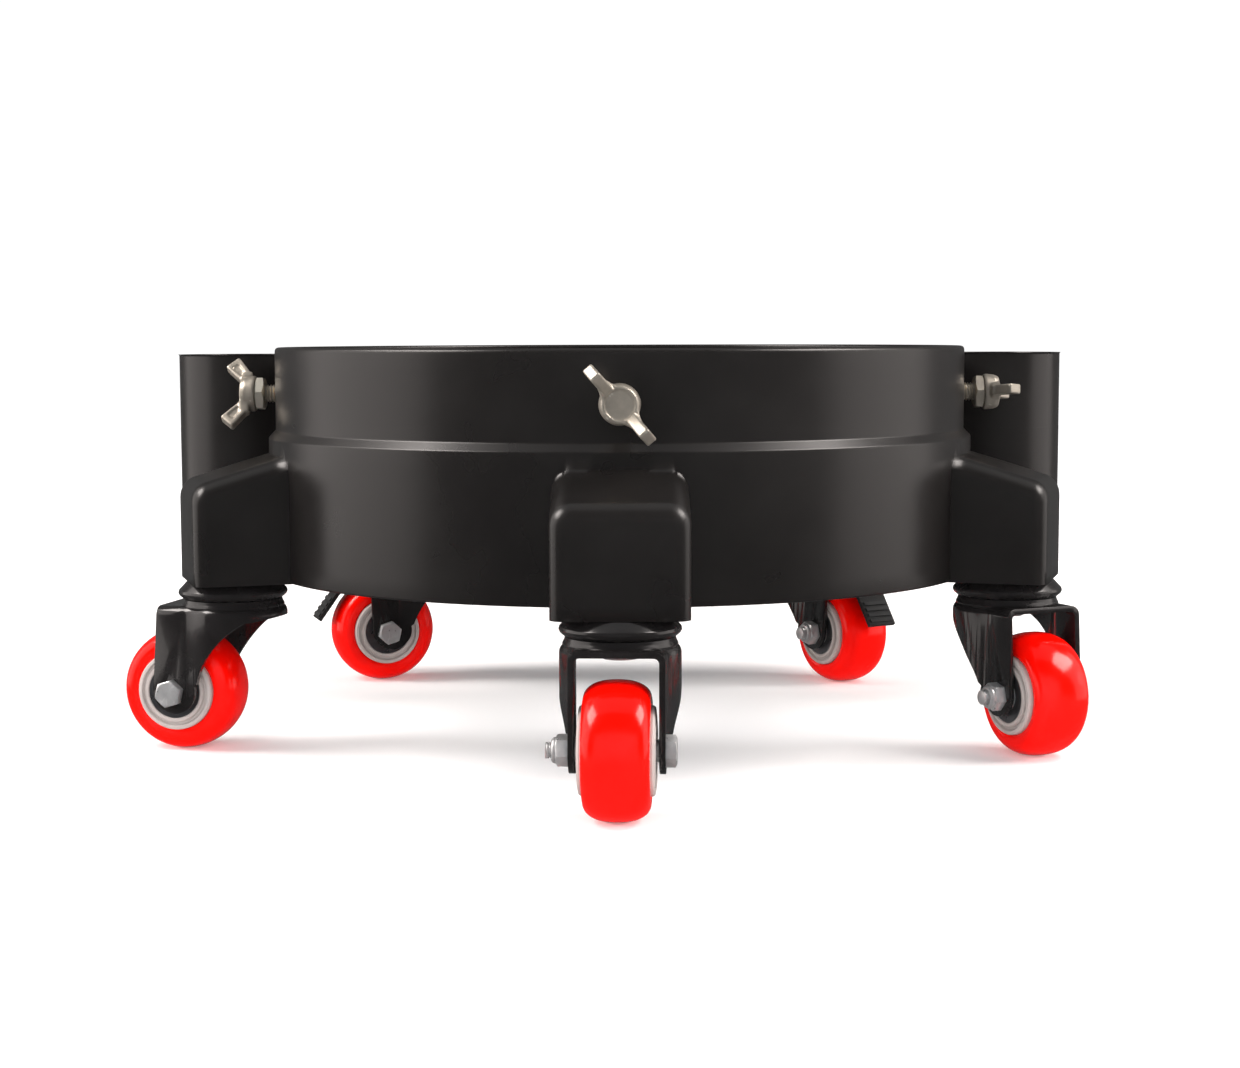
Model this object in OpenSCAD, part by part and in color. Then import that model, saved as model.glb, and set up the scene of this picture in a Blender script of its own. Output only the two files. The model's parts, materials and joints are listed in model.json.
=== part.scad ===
// Round bucket and drum dolly: a stepped plastic ring with five leg housings, two tool tubes,
// five swivel casters (the rear two with a foot brake) and four wing screws that grip the bucket.
// Heights are driven from the floor. The finished model's origin is the centre of the seat that the
// bucket stands on. The front leg points along -Y, and +Z is up.

/* [Ring] */
// Outer radius of the upper band
ring_upper_r = 147; // [140:0.5:160]
// Outer radius of the lower band
ring_lower_r = 150; // [143:0.5:163]
// Wall thickness of both bands
ring_wall = 4; // [3:0.5:6]
// Height of the ring's top edge above the floor
ring_top = 165; // [150:1:180]
// Height of the shoulder between the two bands
shoulder_z = 127; // [120:1:132]
// Height of the ring's bottom edge, where the casters begin
ring_bottom = 70; // [68:1:74]
// Height of the face that the bucket stands on
seat_z = 78; // [76:1:82]
// Radius of the recess round the bucket's foot
recess_r = 133.5; // [125:0.5:136]
// Radius of the open centre
centre_hole_r = 98; // [80:1:110]

/* [Leg housings] */
// Distance from the ring's axis to a housing's end face
leg_reach = 186; // [180:1:195]
// Width of a housing
leg_w = 50; // [44:1:56]
// Height of a housing's top where it meets the ring
leg_top_in = 121; // [115:1:124]
// Height of a housing's top at its outer end
leg_top_out = 110; // [100:1:114]
// Radius of a housing's upright corners
leg_corner = 6; // [4:0.5:8]

/* [Tool tubes] */
// Outer radius of a tube
tube_r = 30; // [26:0.5:30]
// Distance from the ring's axis to a tube's axis
tube_reach = 179.5; // [179:0.5:184]
// Height of a tube's top edge
tube_top = 161.5; // [150:0.5:165]
// Wall thickness of a tube
tube_wall = 2.5; // [2:0.5:3]

/* [Casters] */
// Distance from the ring's axis to a swivel axis
swivel_reach = 167.5; // [165:0.5:170]
// Wheel radius
wheel_r = 25; // [24:0.5:25.5]
// Horizontal distance from the swivel axis to the axle
trail = 21; // [20:0.5:23]
// Direction in which each wheel trails, as front, left, right, rear left, rear right
caster_yaw = [-93, 168, -67, -162, -60]; // [-180:1:180]

/* [Wing screws] */
// Height of the wing screws
screw_z = 145; // [140:1:150]
// Distance from the ring's axis to the base of a screw's hub
screw_hub_reach = 157; // [154:0.5:160]
// Turn of each screw's wings about its own axis, as front, left, right, rear
wing_turn = [41, 37, 84, 20]; // [-180:1:180]

/* [Hidden] */
$fn = 96;
SIDES = ["front", "left", "right", "rear_left", "rear_right"];
SCREWS = ["front", "left", "right", "rear"];
CASTER_PARTS = ["fork", "axle_bolt", "axle_nut", "axle_sleeve", "wheel_tyre", "wheel_hub", "wheel_bearings"];
BRAKE_PARTS = ["brake_pedal", "brake_spring", "brake_rivets"];
SCREW_PARTS = ["wing_screw", "lock_nut", "screw_tip"];
first_braked = 3;

leg_angle = [-90, 198, -18, 126, 54];
tube_angle = [162, 18];
screw_angle = [-90, 180, 0, 90];
last_caster = len(SIDES) - 1;
last_screw = len(SCREWS) - 1;

PLASTIC = "#262423";
STEEL = "#c9c7c2";
BLACK_STEEL = "#1c1b1b";
DARK_STEEL = "#3a3a3c";
RED = "#e8140c";
GREY = "#9a9290";
BRASS = "#b8963f";

// Ring
ring_inner_r = ring_upper_r - ring_wall;
lower_inner_r = ring_lower_r - ring_wall;
top_round = 4.5;
shoulder_h = 4;
rim_floor_z = seat_z + 6;
floor_t = 4;
lip_t = 3;
rib_count = 20;
rib_t = 2.4;

// Housings
leg_wall = 3;
boss_r = 12;
stem_r = 6;
insert_r = 8.2;
insert_h = 20;

// Tubes
tube_floor = 4;
drain_r = 7;

// Swivel bearing, from the top down
race_r = 22.2;
race_top_r = 18.5;
ball_r = 2;
ball_pitch_r = 15.8;
ball_count = 18;
ball_z = ring_bottom - 6.6;
plate_top = ring_bottom - 9.5;
plate_t = 2.5;
plate_bottom = plate_top - plate_t;
pin_r = 5;
running = 0.06;

// Fork
fork_t = 2.2;
fork_half = 17;
skirt_r = 22;
lobe_r = 9.3;
lobe_back = 1.7;
lobe_rise = 0.9;
front_top = trail + 5.4;
braked_front_top = trail + 9.6;
fork_rear = -14;
sweep_r = 47.6;
sweep_centre = [fork_rear - 22, plate_bottom - 44.5];
bend_start = 2;
bend_len = 13;
shoulder_half = sqrt(skirt_r * skirt_r - bend_start * bend_start);

// Wheel and axle
tyre_half = 11.8;
hub_r = 17;
hub_half = 13.8;
bearing_r = 11;
bearing_w = 7;
bearing_in = 6.4;
bearing_mids = [-bearing_in - bearing_w / 2, bearing_in + bearing_w / 2];
inner_ring_r = 6;
outer_ring_in = 9.4;
sleeve_r = 4;
bolt_r = 3;
bolt_af = 10;
leg_inner = fork_half - fork_t;

// Brake
pivot = [trail + 5, plate_bottom - 4.5];
cheek_t = 1.8;
cheek_half = leg_inner - 0.4;
tread_half = 7.5;
shoe_gap = 0.3;
rivet_r = 2;

// Wing screws
screw_r = 4;
screw_len = 20;
hub_base_r = 7.6;
hub_tip_r = 6;
hub_h = 6.5;
nut_af = 13;
nut_h = 4;
wing_t = 4.2;
tip_r = 2.5;
tip_out = 1;
tip_depth = 3;
insert_flange_r = 7;
insert_flange_t = 1.4;
insert_sink = 0.2;
insert_barrel_r = 5.2;

// Points of an arc about c, from angle a to angle b, in n steps
function arc(c, r, a, b, n) = [for (i = [0:n]) c + r * [cos(a + (b - a) * i / n), sin(a + (b - a) * i / n)]];
function ease(t) = t <= 0 ? 0 : t >= 1 ? 1 : t * t * (3 - 2 * t);
function across_corners(af) = af / cos(30);
function reversed(list) = [for (i = [len(list) - 1 : -1 : 0]) list[i]];

// A solid of revolution about the Y axis, from points [radius, y]
module turned_y(points) rotate([-90, 0, 0]) rotate_extrude() polygon(points);
module ring_y(outer, inner, low, high)
    turned_y([[inner, low], [outer, low], [outer, high], [inner, high]]);
module pipe(outer, inner, low, high)
    translate([0, 0, low]) difference() {
        cylinder(r = outer, h = high - low);
        translate([0, 0, -1]) cylinder(r = inner, h = high - low + 2);
    }

module from_seat() translate([0, 0, -seat_z]) children();
module at_leg(i) rotate(leg_angle[i]) translate([swivel_reach, 0, 0]) children();
module at_caster(i) at_leg(i) rotate(caster_yaw[i] - leg_angle[i]) children();
module at_axle(i) at_caster(i) translate([trail, 0, wheel_r]) children();
// Local +Z points out of the ring along the screw, with the hub's base at zero
module at_screw(i)
    rotate(screw_angle[i]) translate([screw_hub_reach, 0, screw_z]) rotate([0, 90, 0]) children();

// ---------------------------------------------------------------- plastic body

module ring_section() polygon(concat(
    [[lower_inner_r, ring_bottom], [ring_lower_r, ring_bottom]],
    [[ring_lower_r, shoulder_z - 1], [ring_lower_r - 0.4, shoulder_z]],
    [[ring_upper_r + 0.3, shoulder_z + shoulder_h - 0.6], [ring_upper_r, shoulder_z + shoulder_h + 0.6]],
    arc([ring_upper_r - top_round, ring_top - top_round], top_round, 0, 65, 4),
    [[ring_inner_r + 0.8, ring_top], [ring_inner_r, ring_top - 0.8]],
    [[ring_inner_r, shoulder_z - ring_wall], [lower_inner_r, shoulder_z - ring_wall - 3]],
    [[lower_inner_r, rim_floor_z], [recess_r, rim_floor_z], [recess_r, seat_z], [centre_hole_r, seat_z]],
    [[centre_hole_r, ring_bottom], [centre_hole_r + lip_t, ring_bottom]],
    [[centre_hole_r + lip_t, seat_z - floor_t], [recess_r + floor_t, seat_z - floor_t]],
    [[recess_r + floor_t, rim_floor_z - floor_t], [lower_inner_r, rim_floor_z - floor_t]]));

// A screw insert sits in the wall with its flange sunk flush with the ring's inner face
module screw_insert_space() translate([0, 0, ring_inner_r - screw_hub_reach]) {
    translate([0, 0, -3]) cylinder(r = insert_flange_r, h = 3 + insert_sink + insert_flange_t);
    cylinder(r = insert_barrel_r, h = ring_wall + 2);
}

module base_ring() color(PLASTIC) difference() {
    union() {
        rotate_extrude($fn = 180) ring_section();
        for (i = [0:rib_count - 1])
            rotate((i + 0.5) * 360 / rib_count)
                translate([centre_hole_r + 1, -rib_t / 2, ring_bottom + 1])
                    cube([lower_inner_r - centre_hole_r, rib_t, seat_z - floor_t - ring_bottom + 0.5]);
    }
    for (i = [0:last_screw]) at_screw(i) screw_insert_space();
}

// The block of a housing: its outer shape, or the hollow inside when inset by a wall's thickness
module leg_block(inset) {
    inner_end = ring_lower_r - 8;
    reach = leg_reach - inset;
    half = leg_w / 2 - inset;
    corner = leg_corner - inset;
    slope = (leg_top_in - leg_top_out) / (leg_reach - ring_lower_r);
    low = inset > 0 ? ring_bottom - 1 : ring_bottom;
    round_centre = [reach - leg_corner, leg_top_out - inset - leg_corner * (1 - slope * 0.4)];
    intersection() {
        translate([0, half, 0]) rotate([90, 0, 0]) linear_extrude(2 * half) polygon(concat(
            [[inner_end, low], [reach, low]],
            arc(round_centre, leg_corner, 0, 72, 5),
            [[inner_end, leg_top_in - inset + slope * 8]]));
        union() {
            translate([inner_end, -half, low]) cube([reach - corner - inner_end, 2 * half, 70]);
            translate([inner_end, -half + corner, low]) cube([reach - inner_end, 2 * (half - corner), 70]);
            for (y = [corner - half, half - corner])
                translate([reach - corner, y, low]) cylinder(r = corner, h = 70);
        }
    }
}

// The boss round the caster's stem, and the two crossed ribs that stiffen it
module leg_stiffeners() {
    rib_z = ring_bottom + 0.5;
    translate([swivel_reach, 0, ring_bottom]) cylinder(r = boss_r, h = 60);
    translate([ring_lower_r - 6, -rib_t / 2, rib_z]) cube([leg_reach - ring_lower_r + 5, rib_t, 60]);
    translate([swivel_reach - rib_t / 2, 1 - leg_w / 2, rib_z]) cube([rib_t, leg_w - 2, 60]);
}

module leg_housing() difference() {
    union() {
        difference() {
            leg_block(0);
            leg_block(leg_wall);
        }
        intersection() {
            leg_block(0);
            leg_stiffeners();
        }
    }
    translate([0, 0, ring_bottom - 5]) cylinder(r = ring_lower_r, h = 100, $fn = 180);
    translate([swivel_reach, 0, ring_bottom - 1]) cylinder(r = insert_r, h = insert_h + 3);
}

module leg_housings() color(PLASTIC)
    for (a = leg_angle) rotate(a) leg_housing();

module tool_tube() difference() {
    union() {
        translate([tube_reach, 0, ring_bottom]) cylinder(r = tube_r, h = tube_top - ring_bottom);
        translate([ring_upper_r - 2, -12, ring_bottom]) cube([16, 24, tube_top - ring_bottom - 3]);
    }
    translate([tube_reach, 0, ring_bottom + tube_floor]) cylinder(r = tube_r - tube_wall, h = 100);
    translate([tube_reach, 0, ring_bottom - 1]) cylinder(r = drain_r, h = 10);
    translate([0, 0, ring_bottom - 5])
        cylinder(r = ring_lower_r, h = shoulder_z - ring_bottom + 5, $fn = 180);
    translate([0, 0, shoulder_z - 1])
        cylinder(r1 = ring_lower_r, r2 = ring_upper_r, h = shoulder_h + 1.6, $fn = 180);
    translate([0, 0, shoulder_z + shoulder_h]) cylinder(r = ring_upper_r, h = 60, $fn = 180);
}

module tool_tubes() color(PLASTIC)
    for (a = tube_angle) rotate(a) tool_tube();

// ---------------------------------------------------------------- fixed caster parts

module screw_insert() translate([0, 0, ring_inner_r - screw_hub_reach + insert_sink]) difference() {
    union() {
        cylinder(r = insert_flange_r, h = insert_flange_t);
        cylinder(r = insert_barrel_r, h = ring_wall - 2 * insert_sink);
    }
    translate([0, 0, -1]) cylinder(r = screw_r + running, h = ring_wall + 2);
}

// The brass inserts in the plastic: one under each leg for a caster's stem, one for each wing screw
module threaded_inserts() color(BRASS) {
    for (i = [0:last_caster])
        at_leg(i) pipe(insert_r, stem_r + running, ring_bottom + 0.5, ring_bottom + insert_h);
    for (i = [0:last_screw]) at_screw(i) screw_insert();
}

// Threaded stem above the race, swivel pin below it, closed by a riveted head under the fork plate
module caster_stems() color(STEEL)
    for (i = [0:last_caster]) at_leg(i) rotate_extrude() polygon([
        [0, plate_bottom - 3.4], [6.5, plate_bottom - 3.4], [9, plate_bottom - 1.6],
        [9, plate_bottom - 0.15], [pin_r, plate_bottom - 0.15], [pin_r, ring_bottom - 3.6],
        [8, ring_bottom - 3.6], [8, ring_bottom - 2.1], [stem_r, ring_bottom - 2.1],
        [stem_r, ring_bottom + insert_h - 3], [stem_r - 1, ring_bottom + insert_h - 2],
        [0, ring_bottom + insert_h - 2]]);

module upper_races() color(BLACK_STEEL)
    for (i = [0:last_caster]) at_leg(i) rotate_extrude() polygon([
        [stem_r + 0.1, ring_bottom - 2], [stem_r + 0.1, ring_bottom], [race_top_r, ring_bottom],
        [race_r - 0.4, ring_bottom - 3.9], [race_r, ring_bottom - 4.7], [race_r - 0.3, ring_bottom - 5.6],
        [race_r - 1.9, ring_bottom - 6.9], [race_r - 2.2, ring_bottom - 6.4],
        [race_r - 2.6, ring_bottom - 4.6], [ball_pitch_r - 2.2, ring_bottom - 4.5],
        [stem_r + 3, ring_bottom - 4.4], [stem_r + 2.6, ring_bottom - 2]]);

module swivel_balls() color(STEEL)
    for (i = [0:last_caster], k = [0:ball_count - 1]) at_leg(i)
        rotate(k * 360 / ball_count) translate([ball_pitch_r, 0, ball_z]) sphere(r = ball_r, $fn = 32);

// ---------------------------------------------------------------- fork, axle and wheel

// Half the outer width of the fork at a distance x along the trail: round behind, then narrowing
// to a flat leg
function fork_outer(x) =
    x < bend_start ? sqrt(skirt_r * skirt_r - x * x)
                   : fork_half + (shoulder_half - fork_half) * (1 - ease((x - bend_start) / bend_len));
function fork_slope(x) = (fork_outer(x + 0.05) - fork_outer(x - 0.05)) / 0.1;
fork_stations = concat([for (x = [fork_rear - 3 : 2 : bend_start + bend_len]) x], [braked_front_top + 3]);
function fork_line(inset) = [for (x = fork_stations)
    let (d = fork_slope(x)) [x, fork_outer(x)] + inset * [d, -1] / norm([1, d])];

module fork_wall_plan() polygon(concat(fork_line(0), reversed(fork_line(fork_t))));

module fork_side_profile(front) polygon(concat(
    [[fork_rear, plate_top], [fork_rear, plate_bottom - 3.5]],
    arc(sweep_centre, sweep_r, 59, 19, 10),
    arc([trail - lobe_back, wheel_r + lobe_rise], lobe_r, 168, 358, 16),
    [[front, plate_top]]));

module fork_plate_plan(front) {
    edge = [for (p = fork_line(0)) if (p[0] > fork_rear && p[0] < bend_start + bend_len) p];
    rear_angle = atan2(edge[0][1], edge[0][0]);
    polygon(concat(
        edge, [[front, fork_half], [front, -fork_half]],
        [for (p = reversed(edge)) [p[0], -p[1]]],
        arc([0, 0], skirt_r, 354 - rear_angle, rear_angle + 6, 8)));
}

// Raised bearing seat on the fork's plate, with the lower race's lip
module fork_dome() rotate_extrude() polygon([
    [pin_r - 2, plate_top - 1], [20.6, plate_top - 1], [19.8, plate_top + 2.4],
    [19, plate_top + 2.6], [18.4, plate_top + 0.85], [pin_r - 2, plate_top + 0.85]]);

module cross_hole(place, r)
    translate([place[0], 30, place[1]]) rotate([90, 0, 0]) cylinder(r = r, h = 60);

// The top of a braked fork reaches further forward, to hold the pedal's rivets
module fork(braked) color(BLACK_STEEL) difference() {
    front = braked ? braked_front_top : front_top;
    union() {
        translate([0, 0, plate_bottom]) linear_extrude(plate_t) fork_plate_plan(front);
        fork_dome();
        for (side = [0, 1]) mirror([0, side, 0]) intersection() {
            linear_extrude(plate_bottom + 0.5) fork_wall_plan();
            translate([0, skirt_r + 2, 0]) rotate([90, 0, 0])
                linear_extrude(2 * skirt_r + 4) fork_side_profile(front);
        }
    }
    translate([0, 0, plate_bottom - 2]) cylinder(r = pin_r + running, h = 10);
    cross_hole([trail, wheel_r], bolt_r + 0.1);
    if (braked) cross_hole(pivot, rivet_r);
}

module axle_bolt() color(STEEL) {
    difference() {
        translate([0, fork_half, 0]) rotate([-90, 30, 0])
            cylinder(d = across_corners(bolt_af), h = 4, $fn = 6);
        translate([0, fork_half + 3.6, 0]) ring_y(8, bolt_af / 2 - 0.3, 0, 1);
    }
    translate([0, fork_half + 0.5, 0]) rotate([90, 0, 0]) cylinder(r = bolt_r, h = 2 * fork_half + 8.5);
}

module axle_nut() color(STEEL) difference() {
    union() {
        translate([0, -fork_half, 0]) rotate([90, 12, 0])
            cylinder(d = across_corners(bolt_af), h = 4.6, $fn = 6);
        translate([0, -fork_half, 0]) rotate([90, 0, 0])
            cylinder(r1 = bolt_af / 2 - 0.2, r2 = bolt_af / 2 - 1, h = 6.2);
    }
    translate([0, 1, 0]) rotate([90, 0, 0]) cylinder(r = bolt_r + 0.05, h = 40);
}

// Spacer sleeve with the two inner bearing rings that sit on it
module axle_sleeve() color(STEEL) {
    ring_y(sleeve_r, bolt_r + 0.08, -leg_inner, leg_inner);
    for (mid = bearing_mids) ring_y(inner_ring_r, sleeve_r + 0.01, mid - bearing_w / 2, mid + bearing_w / 2);
}

module wheel_tyre() color(RED) turned_y(concat(
    [[hub_r, -tyre_half], [hub_r + 2, -tyre_half - 0.2], [hub_r + 2.6, -tyre_half + 0.4]],
    arc([wheel_r - 5.6, -tyre_half + 5.2], 5.2, -78, -14, 6),
    [[wheel_r - 0.12, -3.2], [wheel_r, 0], [wheel_r - 0.12, 3.2]],
    arc([wheel_r - 5.6, tyre_half - 5.2], 5.2, 14, 78, 6),
    [[hub_r + 2.6, tyre_half - 0.4], [hub_r + 2, tyre_half + 0.2], [hub_r, tyre_half]]));

// One side of the hub's section, from its middle outwards: the bearing's shoulder, seat and rim
hub_side = [
    [bearing_in, bearing_in], [bearing_r, bearing_in], [bearing_r, hub_half - 0.3],
    [bearing_r + 0.3, hub_half], [bearing_r + 2, hub_half], [bearing_r + 2.5, hub_half - 0.8],
    [hub_r - 2.6, hub_half - 0.8], [hub_r - 2.2, hub_half - 0.2], [hub_r - 0.4, hub_half - 0.4],
    [hub_r, hub_half - 1]];
module wheel_hub() color(GREY)
    turned_y(concat(hub_side, [for (p = reversed(hub_side)) [p[0], -p[1]]]));

// Outer rings, rubber seals and balls of the two deep-groove bearings
module wheel_bearings() color(DARK_STEEL) for (mid = bearing_mids) {
    ring_y(bearing_r, outer_ring_in, mid - bearing_w / 2, mid + bearing_w / 2);
    for (seal = [-2.9, 2.9]) ring_y(outer_ring_in, inner_ring_r + 0.15, mid + seal - 0.4, mid + seal + 0.4);
    for (k = [0:6]) translate([0, mid, 0]) rotate([0, k * 360 / 7, 0])
        translate([(outer_ring_in + inner_ring_r) / 2, 0, 0]) sphere(r = 1.62, $fn = 32);
}

// ---------------------------------------------------------------- foot brake

// Side view about the pivot: the pressed plate from its rear edge to its tip
yoke_path = [[-4, 1], [4, 1], [10.5, -2.2]];
tread_path = [[9.9, -1.7], [18.5, -10], [27.5, -22.5]];
wheel_centre = [trail, wheel_r] - pivot;

function normal(a, b) = [a[1] - b[1], b[0] - a[0]] / norm(b - a);
function path_normal(path, i) =
    let (last = len(path) - 1, before = normal(path[max(0, i - 1)], path[max(1, i)]),
         after = normal(path[min(i, last - 1)], path[min(i + 1, last)]))
    (before + after) / 2;
function path_side(path, t) = [for (i = [0:len(path) - 1]) path[i] + t * path_normal(path, i)];

module in_side_view(half) translate([0, half, 0]) rotate([90, 0, 0]) linear_extrude(2 * half) children();
module bent_plate(path, half) in_side_view(half)
    polygon(concat(path_side(path, cheek_t / 2), reversed(path_side(path, -cheek_t / 2))));

module pedal_cheek() {
    circle(r = 3.4);
    polygon([[-3.2, 1.8], [-3.2, 0], [0, -3.2], [7.5, -1], [6.2, 0.6], [4, 1.8]]);
}

// The block that bears on the tyre when the pedal is down
module brake_shoe() in_side_view(6) polygon(concat(
    arc(wheel_centre, wheel_r + shoe_gap, 47, 61, 8),
    arc(wheel_centre, wheel_r + 5, 61, 47, 4)));

// Raised bars across the tread
module tread_bars() {
    along = tread_path[2] - tread_path[1];
    for (k = [0:3]) {
        place = tread_path[1] + along * (0.25 + 0.2 * k);
        translate([place[0], 0, place[1]]) rotate([0, atan2(-along[1], along[0]), 0])
            translate([-0.9, 1.2 - tread_half, 0]) cube([1.8, 2 * tread_half - 2.4, 1.6]);
    }
}

module brake_pedal() color(BLACK_STEEL) translate([pivot[0], 0, pivot[1]]) difference() {
    union() {
        bent_plate(yoke_path, cheek_half);
        bent_plate(tread_path, tread_half);
        brake_shoe();
        tread_bars();
        for (y = [cheek_half, cheek_t - cheek_half])
            translate([0, y, 0]) rotate([90, 0, 0]) linear_extrude(cheek_t) pedal_cheek();
    }
    for (y = [cheek_half + 0.5, cheek_t - cheek_half + 0.5])
        translate([0, y, 0]) rotate([90, 0, 0]) cylinder(r = rivet_r + running, h = cheek_t + 1);
}

// Leaf detent on the underside of the fork's plate, with a tongue behind the pedal's rear edge
module brake_spring() color(STEEL) {
    translate([10.5, -6, plate_bottom - 1]) cube([pivot[0] - 17.1, 12, 1]);
    translate([pivot[0] - 7.4, -6, plate_bottom - 5.5]) cube([0.8, 12, 5]);
}

// Rivets through the fork's legs, on which the pedal turns, flush with its cheeks inside
module brake_rivets() color(STEEL) for (a = [0, 180])
    translate([pivot[0], 0, pivot[1]]) rotate(a) turned_y([
        [0, cheek_half - cheek_t], [rivet_r, cheek_half - cheek_t], [rivet_r, fork_half],
        [3.4, fork_half], [2.6, fork_half + 1.4], [0, fork_half + 1.4]]);

// ---------------------------------------------------------------- wing screws

wing_outline = [[3, 1.2], [7.2, 1.6], [11.2, 4.2], [17.6, 8.6], [12.6, 14.1], [8, 9.2], [5.4, 7.2], [3, 6.4]];

module wing_screw(turn) color(STEEL) rotate(turn) difference() {
    union() {
        cylinder(r1 = hub_base_r, r2 = hub_tip_r, h = hub_h);
        translate([0, 0, hub_h]) cylinder(r1 = hub_tip_r, r2 = hub_tip_r - 0.8, h = 0.6);
        for (a = [0, 180]) rotate(a)
            translate([0, wing_t / 2, 0]) rotate([90, 0, 0]) linear_extrude(wing_t) polygon(wing_outline);
        translate([0, 0, -screw_len]) cylinder(r = screw_r, h = screw_len + 1);
    }
    translate([0, 0, -screw_len - 1]) cylinder(r = tip_r + running, h = tip_depth + 1);
}

module lock_nut(turn) color(STEEL) rotate(turn) difference() {
    translate([0, 0, -nut_h]) intersection() {
        cylinder(d = across_corners(nut_af), h = nut_h, $fn = 6);
        cylinder(r1 = nut_af / 2, r2 = nut_af / 2 + 6, h = nut_h + 3);
        translate([0, 0, -3]) cylinder(r1 = nut_af / 2 + 6, r2 = nut_af / 2 + 0.2, h = nut_h + 3);
    }
    translate([0, 0, -nut_h - 1]) cylinder(r = screw_r + 0.03, h = nut_h + 2);
}

// Swivelling nylon tip in the end of a screw, which bears on the bucket
module screw_tip() color("ivory")
    translate([0, 0, -screw_len - tip_out]) cylinder(r = tip_r, h = tip_out + tip_depth - 0.2);

// ---------------------------------------------------------------- nodes

module caster_part(part, i)
    if (part == "fork") at_caster(i) fork(i >= first_braked);
    else if (part == "axle_bolt") at_axle(i) axle_bolt();
    else if (part == "axle_nut") at_axle(i) axle_nut();
    else if (part == "axle_sleeve") at_axle(i) axle_sleeve();
    else if (part == "wheel_tyre") at_axle(i) wheel_tyre();
    else if (part == "wheel_hub") at_axle(i) wheel_hub();
    else if (part == "wheel_bearings") at_axle(i) wheel_bearings();
    else if (part == "brake_pedal") at_caster(i) brake_pedal();
    else if (part == "brake_spring") at_caster(i) brake_spring();
    else if (part == "brake_rivets") at_caster(i) brake_rivets();

module screw_part(part, i)
    if (part == "wing_screw") at_screw(i) wing_screw(wing_turn[i]);
    else if (part == "lock_nut") at_screw(i) lock_nut(wing_turn[i]);
    else if (part == "screw_tip") at_screw(i) screw_tip();

from_seat() base_ring();
from_seat() leg_housings();
from_seat() tool_tubes();
from_seat() threaded_inserts();
from_seat() caster_stems();
from_seat() upper_races();
from_seat() swivel_balls();
for (i = [0:last_caster], part = CASTER_PARTS)
    from_seat() caster_part(part, i);
for (i = [first_braked:last_caster], part = BRAKE_PARTS)
    from_seat() caster_part(part, i);
for (i = [0:last_screw], part = SCREW_PARTS)
    from_seat() screw_part(part, i);
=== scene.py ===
"""Looks of the round bucket and drum dolly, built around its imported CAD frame.

Lengths in the shape code are millimetres: Z is measured from the floor, and mesh() turns them into
metres in the frame's axes. Each caster and each wing screw is built once in its own local axes and
placed on its joint, which the frame's record gives.
"""
import json
import math

import bmesh
import bpy
from mathutils import Matrix, Vector


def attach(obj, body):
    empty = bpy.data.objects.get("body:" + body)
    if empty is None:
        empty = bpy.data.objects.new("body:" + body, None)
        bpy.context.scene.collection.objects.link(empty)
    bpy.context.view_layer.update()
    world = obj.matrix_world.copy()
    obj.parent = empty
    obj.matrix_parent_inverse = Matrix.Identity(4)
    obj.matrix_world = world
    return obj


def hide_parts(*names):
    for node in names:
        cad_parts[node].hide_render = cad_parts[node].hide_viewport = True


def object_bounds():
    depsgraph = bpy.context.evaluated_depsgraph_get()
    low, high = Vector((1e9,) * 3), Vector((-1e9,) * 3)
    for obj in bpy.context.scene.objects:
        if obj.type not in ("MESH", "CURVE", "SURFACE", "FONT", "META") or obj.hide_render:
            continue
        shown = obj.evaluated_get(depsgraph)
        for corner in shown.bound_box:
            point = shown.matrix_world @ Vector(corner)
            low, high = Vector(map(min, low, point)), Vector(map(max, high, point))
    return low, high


MM = 0.001
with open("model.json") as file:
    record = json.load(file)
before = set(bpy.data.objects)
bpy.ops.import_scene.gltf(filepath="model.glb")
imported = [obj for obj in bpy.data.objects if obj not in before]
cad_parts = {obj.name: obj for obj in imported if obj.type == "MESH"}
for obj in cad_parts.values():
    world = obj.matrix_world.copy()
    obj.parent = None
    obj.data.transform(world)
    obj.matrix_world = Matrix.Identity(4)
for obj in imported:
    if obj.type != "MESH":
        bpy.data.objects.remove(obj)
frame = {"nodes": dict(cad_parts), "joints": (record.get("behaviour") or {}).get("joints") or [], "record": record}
cad_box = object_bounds()
FLOOR = cad_box[0][2]
JOINTS = {j["name"]: j for j in frame["joints"]}
SIDES = ["front", "left", "right", "rear_left", "rear_right"]
BRAKED = SIDES[3:]
SCREWS = ["front", "left", "right", "rear"]


# ------------------------------------------------------------------ mesh helpers

def mesh(name, points, faces, place=Matrix(), smooth=30):
    """A mesh object from points in millimetres, smooth except at edges sharper than smooth degrees."""
    data = bpy.data.meshes.new(name)
    data.from_pydata([place @ (Vector(p) * MM) for p in points], [], faces)
    bm = bmesh.new()
    bm.from_mesh(data)
    bmesh.ops.remove_doubles(bm, verts=bm.verts, dist=1e-6)
    bmesh.ops.recalc_face_normals(bm, faces=bm.faces)
    bm.to_mesh(data)
    bm.free()
    obj = bpy.data.objects.new(name, data)
    bpy.context.scene.collection.objects.link(obj)
    shade(obj, smooth)
    return obj


def shade(obj, angle):
    obj.data.shade_smooth()
    obj.data.set_sharp_from_angle(angle=math.radians(angle))


def from_floor(z):
    """A placing matrix for points whose Z is measured from the floor."""
    return Matrix.Translation((0, 0, FLOOR + z * MM))


def arc(centre, r, start, end, n):
    """n + 1 points of an arc about centre, from start to end degrees."""
    angles = [math.radians(start + (end - start) * i / n) for i in range(n + 1)]
    return [(centre[0] + r * math.cos(a), centre[1] + r * math.sin(a)) for a in angles]


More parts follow.
